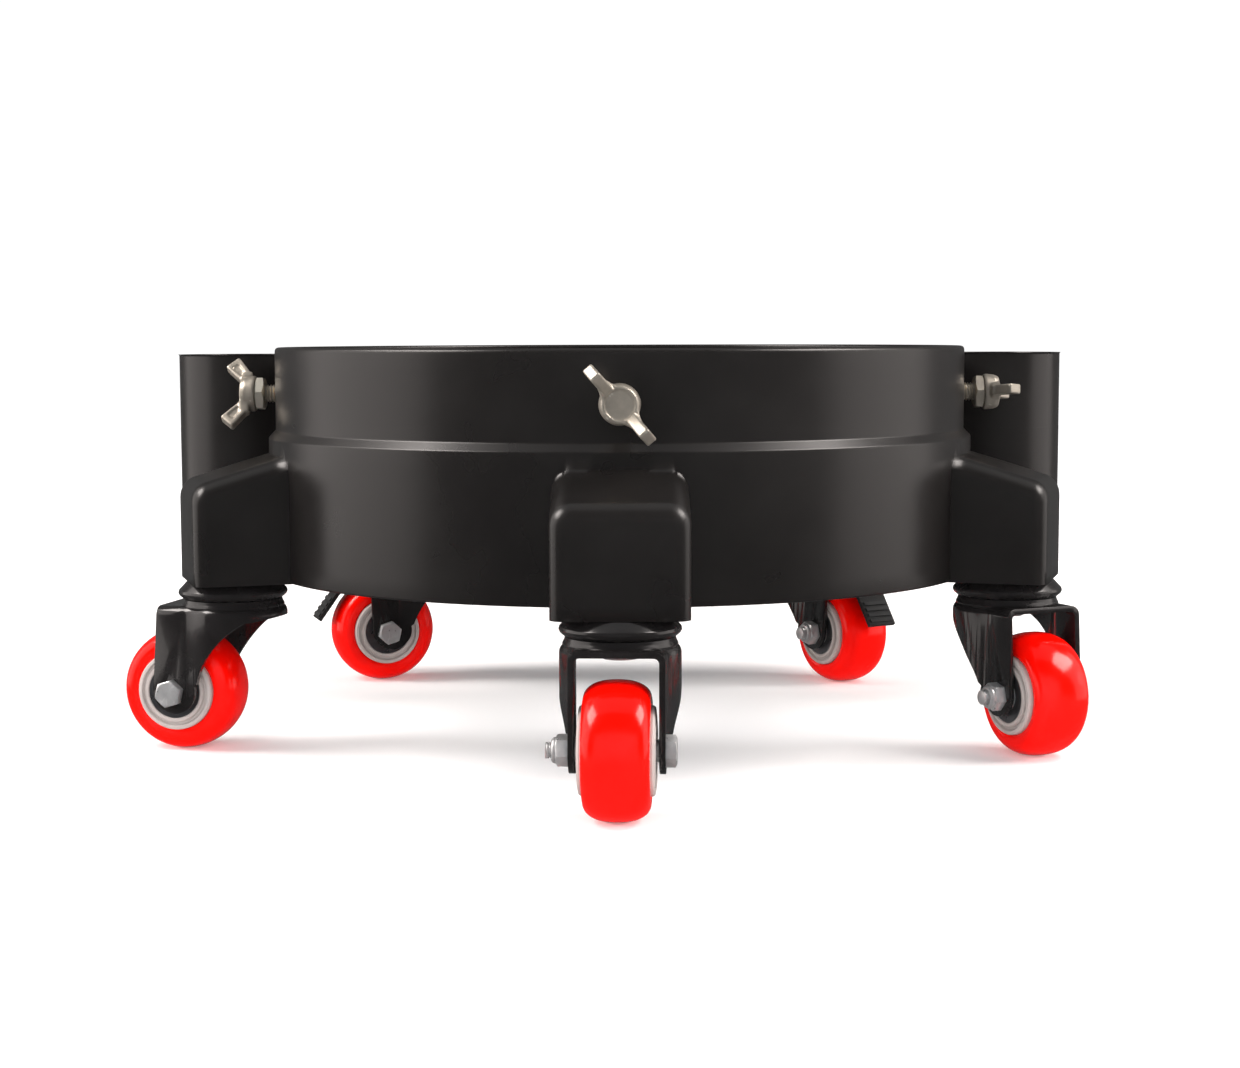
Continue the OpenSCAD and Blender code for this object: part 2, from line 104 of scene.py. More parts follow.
def rounded(corners, radii, n=5):
    """A closed outline with each corner rounded to its radius."""
    out = []
    count = len(corners)
    for i, (corner, r) in enumerate(zip(corners, radii)):
        here = Vector(corner)
        back = (Vector(corners[i - 1]) - here)
        ahead = (Vector(corners[(i + 1) % count]) - here)
        if r <= 0:
            out.append(tuple(here))
            continue
        half = back.angle(ahead) / 2
        reach = min(r / math.tan(half), back.length * 0.49, ahead.length * 0.49)
        a, b = here + back.normalized() * reach, here + ahead.normalized() * reach
        for k in range(n + 1):
            t = k / n
            out.append(tuple((1 - t) ** 2 * a + 2 * t * (1 - t) * here + t ** 2 * b))
    return out


def lathe(section, n=96):
    """Points and faces of a closed section (radius, height) turned about Z."""
    points = [(r * math.cos(math.tau * k / n), r * math.sin(math.tau * k / n), z)
              for k in range(n) for r, z in section]
    m = len(section)
    faces = []
    for k in range(n):
        for i in range(m):
            j = (i + 1) % m
            faces.append((k * m + i, ((k + 1) % n) * m + i, ((k + 1) % n) * m + j, k * m + j))
    return points, faces


def inset(outline, depth):
    """A closed anticlockwise outline moved inwards by depth along its corners' normals."""
    out = []
    count = len(outline)
    for i, (x, y) in enumerate(outline):
        back = Vector((x - outline[i - 1][0], y - outline[i - 1][1])).normalized()
        ahead = outline[(i + 1) % count]
        ahead = Vector((ahead[0] - x, ahead[1] - y)).normalized()
        normal = Vector((-back.y - ahead.y, back.x + ahead.x))
        scale = depth / max(0.35, normal.normalized().dot(Vector((-back.y, back.x))))
        normal.normalize()
        out.append((x + normal.x * scale, y + normal.y * scale))
    return out


def prism(outline, low, high, bottom=0.0, top=0.0, steps=3):
    """Points and faces of an outline raised from low to high, its rims rounded by bottom and top."""
    levels = []
    if bottom:
        quarter = [math.radians(90 * k / steps) for k in range(steps + 1)]
        levels += [(low + bottom * (1 - math.sin(a)), bottom * (1 - math.cos(a)))
                   for a in reversed(quarter)]
    else:
        levels.append((low, 0))
    if top:
        quarter = [math.radians(90 * k / steps) for k in range(steps + 1)]
        levels += [(high - top * (1 - math.sin(a)), top * (1 - math.cos(a))) for a in quarter]
    else:
        levels.append((high, 0))
    points = []
    for z, depth in levels:
        points += [(x, y, z) for x, y in (inset(outline, depth) if depth else outline)]
    n = len(outline)
    faces = [tuple(range(n)), tuple(range((len(levels) - 1) * n, len(levels) * n))]
    for k in range(len(levels) - 1):
        for i in range(n):
            j = (i + 1) % n
            faces.append((k * n + i, k * n + j, (k + 1) * n + j, (k + 1) * n + i))
    return points, faces


def rectangle(x0, x1, y0, y1):
    return [(x0, y0), (x1, y0), (x1, y1), (x0, y1)]


def moved(part, matrix):
    points, faces = part
    return [tuple(matrix @ Vector(p)) for p in points], faces


def rot(axis, degrees):
    return Matrix.Rotation(math.radians(degrees), 4, axis)


def boolean(obj, cutters, operation):
    """Joins or cuts each cutter, which is then removed."""
    for cutter in cutters:
        step = obj.modifiers.new("step", "BOOLEAN")
        step.operation, step.solver, step.object = operation, "EXACT", cutter
    apply_modifiers(obj)
    for cutter in cutters:
        bpy.data.objects.remove(cutter)


def apply_modifiers(obj):
    graph = bpy.context.evaluated_depsgraph_get()
    data = bpy.data.meshes.new_from_object(obj.evaluated_get(graph))
    obj.modifiers.clear()
    old = obj.data
    obj.data = data
    bpy.data.meshes.remove(old)


def bevel(obj, width, segments=2, angle=40):
    step = obj.modifiers.new("edges", "BEVEL")
    step.width, step.segments, step.limit_method = width * MM, segments, "ANGLE"
    step.angle_limit = math.radians(angle)
    step.harden_normals = True
    apply_modifiers(obj)


# ------------------------------------------------------------------ materials

def surface(name, colour, rough, metal=0.0, tint=0.15, patch=25.0, grain=1500.0, depth=0.02,
            wear=0.0, coat=0.0, brushed=1.0, specular=0.5):
    """A moulded, plated or painted surface: patchy colour and gloss, fine bump, worn edges.

    rough is the least and most roughness, tint how far the colour varies, patch and grain the scale
    of the patches and of the bump, depth the bump's height in millimetres, wear how pale edges get.
    """
    mat = bpy.data.materials.new(name)
    mat.use_nodes = True
    nodes, links = mat.node_tree.nodes, mat.node_tree.links
    shader = nodes["Principled BSDF"]
    shader.inputs["Metallic"].default_value = metal
    shader.inputs["Specular IOR Level"].default_value = specular
    shader.inputs["Coat Weight"].default_value = coat
    shader.inputs["Coat Roughness"].default_value = 0.06

    def node(kind, **settings):
        made = nodes.new("ShaderNode" + kind)
        for key, value in settings.items():
            if key in made.inputs:
                made.inputs[key].default_value = value
            else:
                setattr(made, key, value)
        return made

    place = node("TexCoord").outputs["Object"]
    stretch = node("Mapping")
    stretch.inputs["Scale"].default_value = (1, 1, brushed)
    links.new(place, stretch.inputs["Vector"])
    patches = node("TexNoise", Scale=patch, Detail=4.0, Roughness=0.6)
    links.new(place, patches.inputs["Vector"])
    fine = node("TexNoise", Scale=grain, Detail=3.0, Roughness=0.7)
    links.new(stretch.outputs["Vector"], fine.inputs["Vector"])

    gloss = node("MapRange")
    gloss.inputs["From Min"].default_value, gloss.inputs["From Max"].default_value = 0.3, 0.7
    gloss.inputs["To Min"].default_value, gloss.inputs["To Max"].default_value = rough
    links.new(patches.outputs["Fac"], gloss.inputs["Value"])
    links.new(gloss.outputs["Result"], shader.inputs["Roughness"])

    shades = node("ValToRGB")
    low, high = shades.color_ramp.elements
    low.position, high.position = 0.3, 0.7
    low.color = [c * (1 - tint) for c in colour] + [1]
    high.color = [min(1, c * (1 + tint)) for c in colour] + [1]
    links.new(patches.outputs["Fac"], shades.inputs["Fac"])
    colour_out = shades.outputs["Color"]
    if wear:
        geometry = node("NewGeometry")
        edge = node("MapRange")
        edge.inputs["From Min"].default_value, edge.inputs["From Max"].default_value = 0.52, 0.62
        edge.inputs["To Max"].default_value = wear
        links.new(geometry.outputs["Pointiness"], edge.inputs["Value"])
        worn = node("Mix", data_type="RGBA")
        worn.inputs["B"].default_value = [min(1, c * 2.5 + 0.03) for c in colour] + [1]
        links.new(edge.outputs["Result"], worn.inputs["Factor"])
        links.new(colour_out, worn.inputs["A"])
        colour_out = worn.outputs["Result"]
    links.new(colour_out, shader.inputs["Base Color"])

    bump = node("Bump", Strength=0.6, Distance=depth * MM)
    links.new(fine.outputs["Fac"], bump.inputs["Height"])
    links.new(bump.outputs["Normal"], shader.inputs["Normal"])
    return mat


PLASTIC = surface("black_polypropylene", (0.0085, 0.0076, 0.0073), (0.25, 0.34), tint=0.25, patch=14,
                  grain=800, depth=0.012)
BLACK_STEEL = surface("gloss_black_coating", (0.010, 0.009, 0.009), (0.16, 0.30), tint=0.2, patch=60,
                      grain=700, depth=0.012, coat=0.3)
PEDAL_BLACK = surface("worn_black_pedal", (0.012, 0.012, 0.012), (0.5, 0.66), tint=0.3, patch=120,
                      grain=1100, depth=0.02, wear=0.35, specular=0.22)
RED = surface("red_polyurethane", (0.95, 0.003, 0.0006), (0.12, 0.2), tint=0.04, patch=40, grain=900,
              depth=0.006, specular=0.35)
GREY = surface("grey_nylon", (0.40, 0.355, 0.335), (0.38, 0.5), tint=0.08, patch=80, grain=1600,
               depth=0.02)
ZINC = surface("bright_zinc", (0.64, 0.64, 0.64), (0.26, 0.42), metal=0.75, tint=0.12, patch=240,
               grain=2600, depth=0.01, wear=0.3)
NICKEL = surface("satin_nickel", (0.44, 0.40, 0.34), (0.32, 0.46), metal=0.8, tint=0.14, patch=180,
                 grain=1500, depth=0.05, wear=0.3)
BEARING = surface("bearing_steel", (0.20, 0.20, 0.21), (0.25, 0.4), metal=0.9, tint=0.15, patch=200,
                  grain=2400, depth=0.01)
BRASS = surface("turned_brass", (0.70, 0.50, 0.22), (0.25, 0.4), metal=1.0, tint=0.1, patch=150,
                grain=2000, depth=0.01, brushed=8.0)
NYLON = surface("natural_nylon", (0.78, 0.75, 0.66), (0.4, 0.55), tint=0.05, patch=200, grain=1800,
                depth=0.02)


def finish(piece, material, slot, body, *stands_for):
    """Gives a piece its material, makes it ride on its body, and hides what it replaces; its slot argument is not
    used.
    """
    piece.data.materials.clear()
    piece.data.materials.append(material)
    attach(piece, body)
    if stands_for:
        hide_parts(*stands_for)
    return piece


# ------------------------------------------------------------------ moulded body

UPPER_R, LOWER_R, WALL = 147.0, 150.0, 4.0
RIM_Z, SHOULDER_Z, LEDGE_Z, BOTTOM_Z, SEAT_Z = 165.0, 127.2, 130.4, 70.0, 78.0
RECESS_R, HOLE_R, FLOOR_T, RIBS = 133.5, 98.0, 4.0, 20
LEG_ANGLES = [-90, 198, -18, 126, 54]
SWIVEL_R = 167.5
LEG_REACH, LEG_HALF, LEG_ROUND, LEG_TOP_ROUND = 186.0, 25.0, 5.5, 8.0
LEG_END_Z, LEG_RING_Z = 110.0, 121.0
LEG_SLOPE = (LEG_RING_Z - LEG_END_Z) / (LEG_REACH - LOWER_R)
LEG_FOLLOW = 12.0  # how far out a housing's sections still follow the ring's curve
LEG_WALL, RIB_HALF = 3.0, 1.2
TUBE_ANGLES = [162, 18]
TUBE_REACH, TUBE_R, TUBE_WALL, TUBE_TOP = 179.5, 30.0, 2.5, 161.5
SCREW_ANGLES = {"front": -90, "left": 180, "right": 0, "rear": 90}
SCREW_Z = 145.0


def ring_section():
    """The ring's section as (radius, height), round at its rim and shoulder."""
    upper_in, lower_in, floor_low = UPPER_R - WALL, LOWER_R - WALL, SEAT_Z - FLOOR_T
    corners = [
        (lower_in, BOTTOM_Z + 0.2, 0.6), (LOWER_R, BOTTOM_Z + 0.2, 0.8), (LOWER_R, SHOULDER_Z, 1.3),
        (UPPER_R, LEDGE_Z, 1.3), (UPPER_R, RIM_Z, 4.6), (upper_in, RIM_Z, 1.2), (upper_in, 123, 1),
        (lower_in, 120, 1), (lower_in, SEAT_Z + 6, 2), (RECESS_R, SEAT_Z + 6, 0.6),
        (RECESS_R, SEAT_Z, 0.4), (HOLE_R, SEAT_Z, 1.2), (HOLE_R, BOTTOM_Z + 0.2, 0.8),
        (HOLE_R + 3, BOTTOM_Z + 0.2, 0.8),
        (HOLE_R + 3, floor_low, 1), (RECESS_R + FLOOR_T, floor_low, 1),
        (RECESS_R + FLOOR_T, SEAT_Z + 2, 1), (lower_in, SEAT_Z + 2, 1)]
    outline = rounded([c[:2] for c in corners], [c[2] for c in corners])
    rows = []
    for (r0, z0), (r1, z1) in zip(outline, outline[1:] + outline[:1]):
        steps = max(1, round(math.hypot(r1 - r0, z1 - z0) / 7))
        rows += [(r0 + (r1 - r0) * k / steps, z0 + (z1 - z0) * k / steps) for k in range(steps)]
    return rows


def leg():
    """A housing along X: sections across it, following the ring at its root and round at its end."""
    length = LEG_REACH - LOWER_R
    straight = length - LEG_ROUND
    # (distance outwards from the ring, how much the section grows); none lies exactly on the ring
    stations = [(-2.0, 0)] + [(straight * k / 6, 0) for k in range(1, 7)]
    stations += [(straight + LEG_ROUND * math.sin(math.radians(a)),
                  -LEG_ROUND * (1 - math.cos(math.radians(a)))) for a in range(10, 91, 10)]
    points = []
    for s, grow in stations:
        half = LEG_HALF + grow
        top = LEG_END_Z + (length - s) * LEG_SLOPE + grow
        edge = LEG_TOP_ROUND + grow
        side = [(half, BOTTOM_Z + (top - edge - BOTTOM_Z) * k / 6) for k in range(6)]
        corner = arc((half - edge, top - edge), edge, 0, 90, 10)
        flat = [((half - edge) * (1 - k / 4), top) for k in range(1, 4)]
        right = side + corner + flat
        loop = right + [(0, top)] + [(-y, z) for y, z in reversed(right)]
        follow = 1 - min(1, max(0, s / LEG_FOLLOW))
        for y, z in loop:
            sag = LOWER_R - math.sqrt(LOWER_R ** 2 - y ** 2)
            points.append((LOWER_R + s - sag * follow, y, z))
    n = len(loop)
    faces = [tuple(range(n)), tuple(range((len(stations) - 1) * n, len(stations) * n))]
    for k in range(len(stations) - 1):
        for i in range(n):
            j = (i + 1) % n
            faces.append((k * n + i, k * n + j, (k + 1) * n + j, (k + 1) * n + i))
    return points, faces


def leg_hollow():
    """The space inside a housing, less its boss and its two crossed ribs."""
    x0, x1, half = LOWER_R + 1.5, LEG_REACH - LEG_WALL, LEG_HALF - LEG_WALL
    side = [(x0, BOTTOM_Z - 2), (x1, BOTTOM_Z - 2), (x1, LEG_END_Z - LEG_WALL),
            (x0, LEG_RING_Z - LEG_WALL - LEG_SLOPE)]
    points = [(x, y, z) for y in (-half, half) for x, z in side]
    faces = [(0, 1, 2, 3), (7, 6, 5, 4)] + [(i, (i + 1) % 4, (i + 1) % 4 + 4, i + 4) for i in range(4)]
    hollow = mesh("hollow", points, faces, from_floor(0))
    bevel(hollow, 1.5, 2)
    boss = mesh("boss", *prism(arc((SWIVEL_R, 0), 12, 0, 354, 59), 60, 130), from_floor(0))
    along = mesh("rib", *prism(rectangle(140, 190, -RIB_HALF, RIB_HALF), 60, 131), from_floor(0))
    across = rectangle(SWIVEL_R - RIB_HALF, SWIVEL_R + RIB_HALF, -30, 30)
    across = mesh("rib", *prism(across, 59, 132), from_floor(0))
    boolean(hollow, [boss, along, across], "DIFFERENCE")
    return hollow


def tube_outline(ring_r, tube_r, fillet=4.0):
    """A tool tube's outline in plan, blended into a ring of radius ring_r by a fillet on each side."""
    near, far = ring_r + fillet, tube_r + fillet
    x = (near ** 2 - far ** 2 + TUBE_REACH ** 2) / (2 * TUBE_REACH)
    y = math.sqrt(near ** 2 - x ** 2)
    to_ring = math.degrees(math.atan2(-y, -x))
    to_tube = math.degrees(math.atan2(-y, TUBE_REACH - x))
    blend = arc((x, y), fillet, to_ring, to_tube, 8)
    start = math.degrees(math.atan2(y, x - TUBE_REACH))
    round_part = arc((TUBE_REACH, 0), tube_r, start, -start, 80)[1:-1]
    upper = [(ring_r - 2.2, blend[0][1] - 0.5)] + blend
    return upper + round_part + [(px, -py) for px, py in reversed(upper)]


def solid(name, part, angle=0.0):
    return mesh(name, *part, rot("Z", angle) @ from_floor(0))


def cylinder_part(r, low, high, n=64, centre=(0, 0)):
    return prism(arc(centre, r, 0, 360 - 360 / n, n - 1), low, high)


def body_moulding():
    body = solid("body_moulding", lathe(ring_section(), 288))
    added = []
    for k in range(RIBS):
        outline = rectangle(HOLE_R + 1, LOWER_R - WALL + 1, -RIB_HALF, RIB_HALF)
        rib = prism(outline, BOTTOM_Z + 1, SEAT_Z - FLOOR_T + 1)
        added.append(solid("rib", rib, (k + 0.5) * 360 / RIBS))
    for angle in LEG_ANGLES:
        added.append(solid("leg", leg(), angle))
    for angle in TUBE_ANGLES:
        lower, upper = tube_outline(LOWER_R, TUBE_R + 0.04), tube_outline(UPPER_R, TUBE_R)
        added.append(solid("tube", prism(lower, BOTTOM_Z + 0.1, SHOULDER_Z + 1), angle))
        added.append(solid("tube", prism(upper, SHOULDER_Z - 3, TUBE_TOP, top=0.7), angle))
    boolean(body, added, "UNION")
    cuts = []
    hollow = leg_hollow()
    for angle in LEG_ANGLES:
        copy = hollow.copy()
        copy.data = hollow.data.copy()
        copy.data.transform(rot("Z", angle))
        bpy.context.scene.collection.objects.link(copy)
        cuts.append(copy)
        cuts.append(solid("stem_hole", cylinder_part(8.25, 60, 93, centre=(SWIVEL_R, 0)), angle))
    bpy.data.objects.remove(hollow)
    bore = TUBE_R - TUBE_WALL
    # a drain hole, then the bore, rounded at its floor and widened at its mouth
    bore_section = [(0, 60), (7, 60), (7, 74), (bore - 1.5, 74), (bore, 75.5), (bore, TUBE_TOP - 0.8),
                    (bore + 0.5, TUBE_TOP - 0.1), (bore + 0.5, 180), (0, 180)]
    for angle in TUBE_ANGLES:
        points, faces = lathe(bore_section, 96)
        cuts.append(solid("bore", ([(x + TUBE_REACH, y, z) for x, y, z in points], faces), angle))
    for angle in SCREW_ANGLES.values():
        inner = UPPER_R - WALL
        section = [(0, inner - 4), (7.0, inner - 4), (7.0, inner + 1.6), (5.2, inner + 1.6),
                   (5.2, 155), (0, 155)]
        points, faces = lathe(section, 48)
        turned = [(z, x, y + SCREW_Z) for x, y, z in points]
        cuts.append(solid("screw_hole", (turned, faces), angle))
    boolean(body, cuts, "DIFFERENCE")
    tidy_mesh(body)
    shade(body, 28)
    return finish(body, PLASTIC, "body_plastic", "chassis", "base_ring", "leg_housings", "tool_tubes")


def tidy_mesh(obj):
    """Merges the near-coincident points that a boolean leaves."""
    bm = bmesh.new()
    bm.from_mesh(obj.data)
    bmesh.ops.remove_doubles(bm, verts=bm.verts, dist=2e-5)
    bmesh.ops.dissolve_degenerate(bm, edges=bm.edges, dist=1e-5)
    bm.to_mesh(obj.data)
    bm.free()


# ------------------------------------------------------------------ casters

TRAIL, WHEEL_R, AXLE_Z = 21.0, 25.0, 25.0
PLATE_TOP, SHEET_T = 60.5, 2.2
SKIRT_R, FORK_HALF, LOBE_R = 22.0, 17.0, 9.3
LOBE = (TRAIL - 1.7, AXLE_Z + 0.9)
FORK_REAR, SKIRT_LOW = -14.0, 54.5
BEND_START, BEND_LEN, BEND_R = 2.0, 13.0, 3.6
FRONT_TOP, BRAKED_FRONT_TOP = TRAIL + 5.4, TRAIL + 9.6
RIVET = (TRAIL + 5, 53.5)
AXLE_R, AXLE_PITCH, AXLE_FLATS = 3.0, 1.0, 10.0


def ease(t):
    t = min(1, max(0, t))
    return t * t * (3 - 2 * t)


def fork_plan(front):
    """The fork's outer outline from above: round behind, then narrowing to two flat legs."""
    shoulder = math.sqrt(SKIRT_R ** 2 - BEND_START ** 2)
    turn = math.degrees(math.atan2(shoulder, BEND_START))
    bend = [(BEND_START + BEND_LEN * k / 12, FORK_HALF + (shoulder - FORK_HALF) * (1 - ease(k / 12)))
            for k in range(1, 13)]
    half = [(front, FORK_HALF)] + bend[::-1]
    return half + arc((0, 0), SKIRT_R, turn, 360 - turn, 48) + [(x, -y) for x, y in reversed(half)]


def fork_profile(front):
    """The outline of the fork's legs and skirt from the side, as (along the trail, height)."""
    sweep = arc((FORK_REAR - 22, PLATE_TOP - 47), 47.6, 59, 19, 16)
    return ([(-SKIRT_R - 1, PLATE_TOP + 2), (-SKIRT_R - 1, SKIRT_LOW + 1.6), (FORK_REAR, SKIRT_LOW)] + sweep
            + arc(LOBE, LOBE_R, 168, 358, 32) + [(front, PLATE_TOP), (front, PLATE_TOP + 2)])


def caster_place(side):
    """The matrix that sets a caster's own axes (X along its trail) on its swivel joint."""
    swivel = Vector(JOINTS["swivel_turn_" + side]["pos_m"])
    axle = Vector(JOINTS["wheel_spin_" + side]["pos_m"])
    yaw = math.atan2(axle.y - swivel.y, axle.x - swivel.x)
    return Matrix.Translation((swivel.x, swivel.y, FLOOR)) @ Matrix.Rotation(yaw, 4, "Z")


def fork(side):
    """One pressing: a domed plate bent down into a skirt behind and a leg on each side of the wheel."""
    braked = side in BRAKED
    front = BRAKED_FRONT_TOP if braked else FRONT_TOP
    place = caster_place(side)
    shell = mesh("fork", *prism(fork_plan(front + 6), 0, PLATE_TOP, top=BEND_R, steps=6), place)
    inner_bend = BEND_R - SHEET_T + 0.5
    core = prism(inset(fork_plan(front + 12), SHEET_T), -1, PLATE_TOP - SHEET_T, top=inner_bend, steps=5)
    boolean(shell, [mesh("core", *core, place)], "DIFFERENCE")
    side_cut = moved(prism(fork_profile(front), -40, 40), rot("X", 90))
    boolean(shell, [mesh("side", *side_cut, place)], "INTERSECT")
    across = rot("X", 90)
    holes = [moved(cylinder_part(3.1, -40, 40, 32, (TRAIL, AXLE_Z)), across),
             cylinder_part(5.2, 50, 70, 48)]
    if braked:
        holes.append(moved(cylinder_part(2.02, -40, 40, 32, RIVET), across))
    boolean(shell, [mesh("hole", *hole, place) for hole in holes], "DIFFERENCE")
    tidy_mesh(shell)
    bevel(shell, 0.4, 2, 50)
    dome = rounded([(20.4, 59), (20.9, 60.2), (20.2, 61.6), (19.9, 62.7), (19.4, 63.1), (18.9, 62.8),
                    (18.3, 61.4), (5.06, 61.35), (5.06, 59)], [0.4] * 7 + [0.2] * 2, 3)
    top = mesh("dome", *lathe(dome, 72), place)
    return merge("fork_" + side + "_pressing", [shell, top])


def merge(name, pieces):
    """Several objects as one, keeping their meshes apart inside it."""
    bm = bmesh.new()
    for piece in pieces:
        bm.from_mesh(piece.data)
    data = bpy.data.meshes.new(name)
    bm.to_mesh(data)
    bm.free()
    for piece in pieces:
        bpy.data.objects.remove(piece)
    obj = bpy.data.objects.new(name, data)
    bpy.context.scene.collection.objects.link(obj)
    shade(obj, 35)
    return obj


def race_section():
    corners = [(6.1, 68), (6.1, 70), (18.5, 70), (21.9, 66.4), (22.2, 65.3), (21.7, 64.3), (20.3, 63.1),
               (19.9, 63.5), (19.5, 65.4), (13.6, 65.5), (9, 65.6), (8.6, 68)]
    return rounded(corners, [0.1, 0.3, 0.8, 0.8, 0.8, 0.6, 0.3, 0.3, 0.4, 0.3, 0.3, 0.3], 3)


def tyre_section():
    """A rounded tread as (radius, across): a superellipse over flat walls, down to the hub."""
    half, power, root = 12.0, 2.3, 18.2
    tread = []
    for k in range(-18, 19):
        y = half * math.sin(math.radians(5 * k))
        tread.append((root + (WHEEL_R - root) * (1 - abs(y / half) ** power) ** (1 / power), y))
    wall = [(17.4, half - 0.1), (16.6, half - 0.3), (16.1, half - 0.7), (15.8, half - 1.3)]
    return [(r, -y) for r, y in reversed(wall)] + tread + wall


def hub_section():
    side = [(11, 6.4), (11, 13.5), (11.3, 13.8), (12.4, 13.8), (12.7, 13.3), (12.8, 12.5), (13.7, 12.4),
            (13.9, 12.8), (14.1, 13.4), (14.4, 13.6), (15.4, 13.4), (15.9, 12.7), (16.0, 10.8)]
    return [(6.4, 6.4)] + side + [(r, -y) for r, y in reversed(side)] + [(6.4, -6.4)]


def thread(r, pitch, low, high, n=40):
    """A closed threaded rod about Z: its radius falls and rises once a pitch along the helix."""
    depth = 0.55 * pitch
    steps = max(2, round((high - low) / pitch * 8))
    points = [(0, 0, low)]
    for k in range(steps + 1):
        z = low + (high - low) * k / steps
        fade = min(1, (high - z) / pitch, (z - low) / pitch)
        for i in range(n):
            phase = (z / pitch - i / n) % 1
            cut = depth * fade * min(1, 2.3 * abs(phase - 0.5)) if fade > 0 else 0
            rr = r - cut - (0.12 * r if k in (0, steps) else 0)
            a = math.tau * i / n
            points.append((rr * math.cos(a), rr * math.sin(a), z))
    points.append((0, 0, high))
    last = len(points) - 1
    faces = [(0, 1 + (i + 1) % n, 1 + i) for i in range(n)]
    faces += [(last, last - n + i, last - n + (i + 1) % n) for i in range(n)]
    for k in range(steps):
        for i in range(n):
            a, b = 1 + k * n + i, 1 + k * n + (i + 1) % n
            faces.append((a, b, b + n, a + n))
    return points, faces


def hexagon(across_flats, turn=0.0):
    r = across_flats / 2 / math.cos(math.radians(30))
    angles = [math.radians(turn + 60 * k) for k in range(6)]
    return [(r * math.cos(a), r * math.sin(a)) for a in angles]


def hex_part(name, across_flats, low, high, hole=0.0, turn=0.0, crown=(0, 1), place=Matrix()):
    """A chamfered hexagon from low to high about Z, with its crowned ends named by 0 and 1."""
    body = mesh("hex", *prism(hexagon(across_flats, turn), low, high), place)
    r, corner = across_flats / 2, across_flats / 2 / math.cos(math.radians(30)) + 1
    drop = (corner - r + 0.4) * math.tan(math.radians(28))
    bottom = (low + drop, low) if 0 in crown else (low - 1, low - 1)
    top = (high - drop, high) if 1 in crown else (high + 1, high + 1)
    shape = [(0, bottom[1]), (r - 0.4, bottom[1]), (corner, bottom[0]), (corner, top[0]),
             (r - 0.4, top[1]), (0, top[1])]
    turned = mesh("crown", *lathe(shape, 72), place)
    boolean(body, [turned], "INTERSECT")
    if hole:
        cutter = mesh("hole", *cylinder_part(hole, low - 2, high + 2, 48), place)
        boolean(body, [cutter], "DIFFERENCE")
    bevel(body, 0.18, 2, 25)
    body.name = name
    return body


def caster(side):
    place = caster_place(side)
    swivel, wheel = "swivel_" + side, "wheel_" + side
    finish(fork(side), BLACK_STEEL, "black_steel", swivel, "fork_" + side)

    axle = place @ Matrix.Translation((TRAIL * MM, 0, AXLE_Z * MM)) @ rot("X", -90)
    tyre = mesh("tyre_" + side, *lathe(tyre_section(), 128), axle)
    finish(tyre, RED, "wheel_tread", wheel, "wheel_tyre_" + side)
    hub = mesh("hub_" + side, *lathe(hub_section(), 96), axle)
    finish(hub, GREY, "wheel_core", wheel, "wheel_hub_" + side)

    head = hex_part("head", AXLE_FLATS, FORK_HALF, FORK_HALF + 4, turn=17, crown=(1,), place=axle)
    washer = mesh("washer", *prism(arc((0, 0), 4.7, 0, 355, 71), FORK_HALF, FORK_HALF + 0.4), axle)
    rod = mesh("rod", *thread(AXLE_R, AXLE_PITCH, -FORK_HALF - 8.3, FORK_HALF + 1), axle, 50)
    bolt = merge("bolt_" + side, [head, washer, rod])
    finish(bolt, ZINC, "zinc_steel", swivel, "axle_bolt_" + side)
    nut = hex_part("nut", AXLE_FLATS, -FORK_HALF - 4.6, -FORK_HALF, 3.1, 12, (0,), axle)
    collar = [(3.1, -FORK_HALF - 4), (4.7, -FORK_HALF - 4), (4.6, -FORK_HALF - 5.4), (4.0, -FORK_HALF - 6.1),
              (3.1, -FORK_HALF - 6.2)]
    ring = mesh("collar", *lathe(rounded(collar, [0.1, 0.1, 0.5, 0.5, 0.2], 3), 64), axle)
    finish(merge("locknut_" + side, [nut, ring]), ZINC, "zinc_steel", swivel, "axle_nut_" + side)


def races():
    parts = []
    for side in SIDES:
        parts.append(mesh("race", *lathe(race_section(), 96), caster_place(side)))
    finish(merge("swivel_races", parts), BLACK_STEEL, "black_steel", "chassis", "upper_races")


# ------------------------------------------------------------------ wing screws

WING_TURN = {"front": 41, "left": 37, "right": 84, "rear": 20}
# One wing's outline as (outwards from the screw's axis, along it from the hub's base)
WING_OUTLINE = [(2, 1.0), (7.0, 1.4), (10.8, 3.6), (18.2, 8.8), (13.2, 14.2), (8.6, 9.9), (6.0, 7.3),
                (2, 6.6)]
WING_RADII = [0, 2.5, 6, 0.9, 0.9, 4, 2, 0]
SCREW_R, SCREW_PITCH, NUT_FLATS = 4.0, 1.25, 13.0


def wing(thickness=4.2, panel=0.55):
    """A wing with a raised border round a sunk panel on both faces, along +X."""
    outline = rounded(WING_OUTLINE, WING_RADII)
    part = prism(outline, -thickness / 2, thickness / 2, 0.5, 0.5)
    blade = mesh("wing", *moved(part, rot("X", 90)))
    border = [(8.9, 4.6), (14.8, 8.7), (12.3, 11.6), (8.0, 7.3)]
    for sign in (-1, 1):
        sunk = prism(rounded(border, [1.2] * 4, 4), thickness / 2 - panel, thickness)
        flip = rot("X", 90) if sign < 0 else rot("X", 90) @ Matrix.Scale(-1, 4, (0, 0, 1))
        boolean(blade, [mesh("panel", *moved(sunk, flip))], "DIFFERENCE")
    return blade


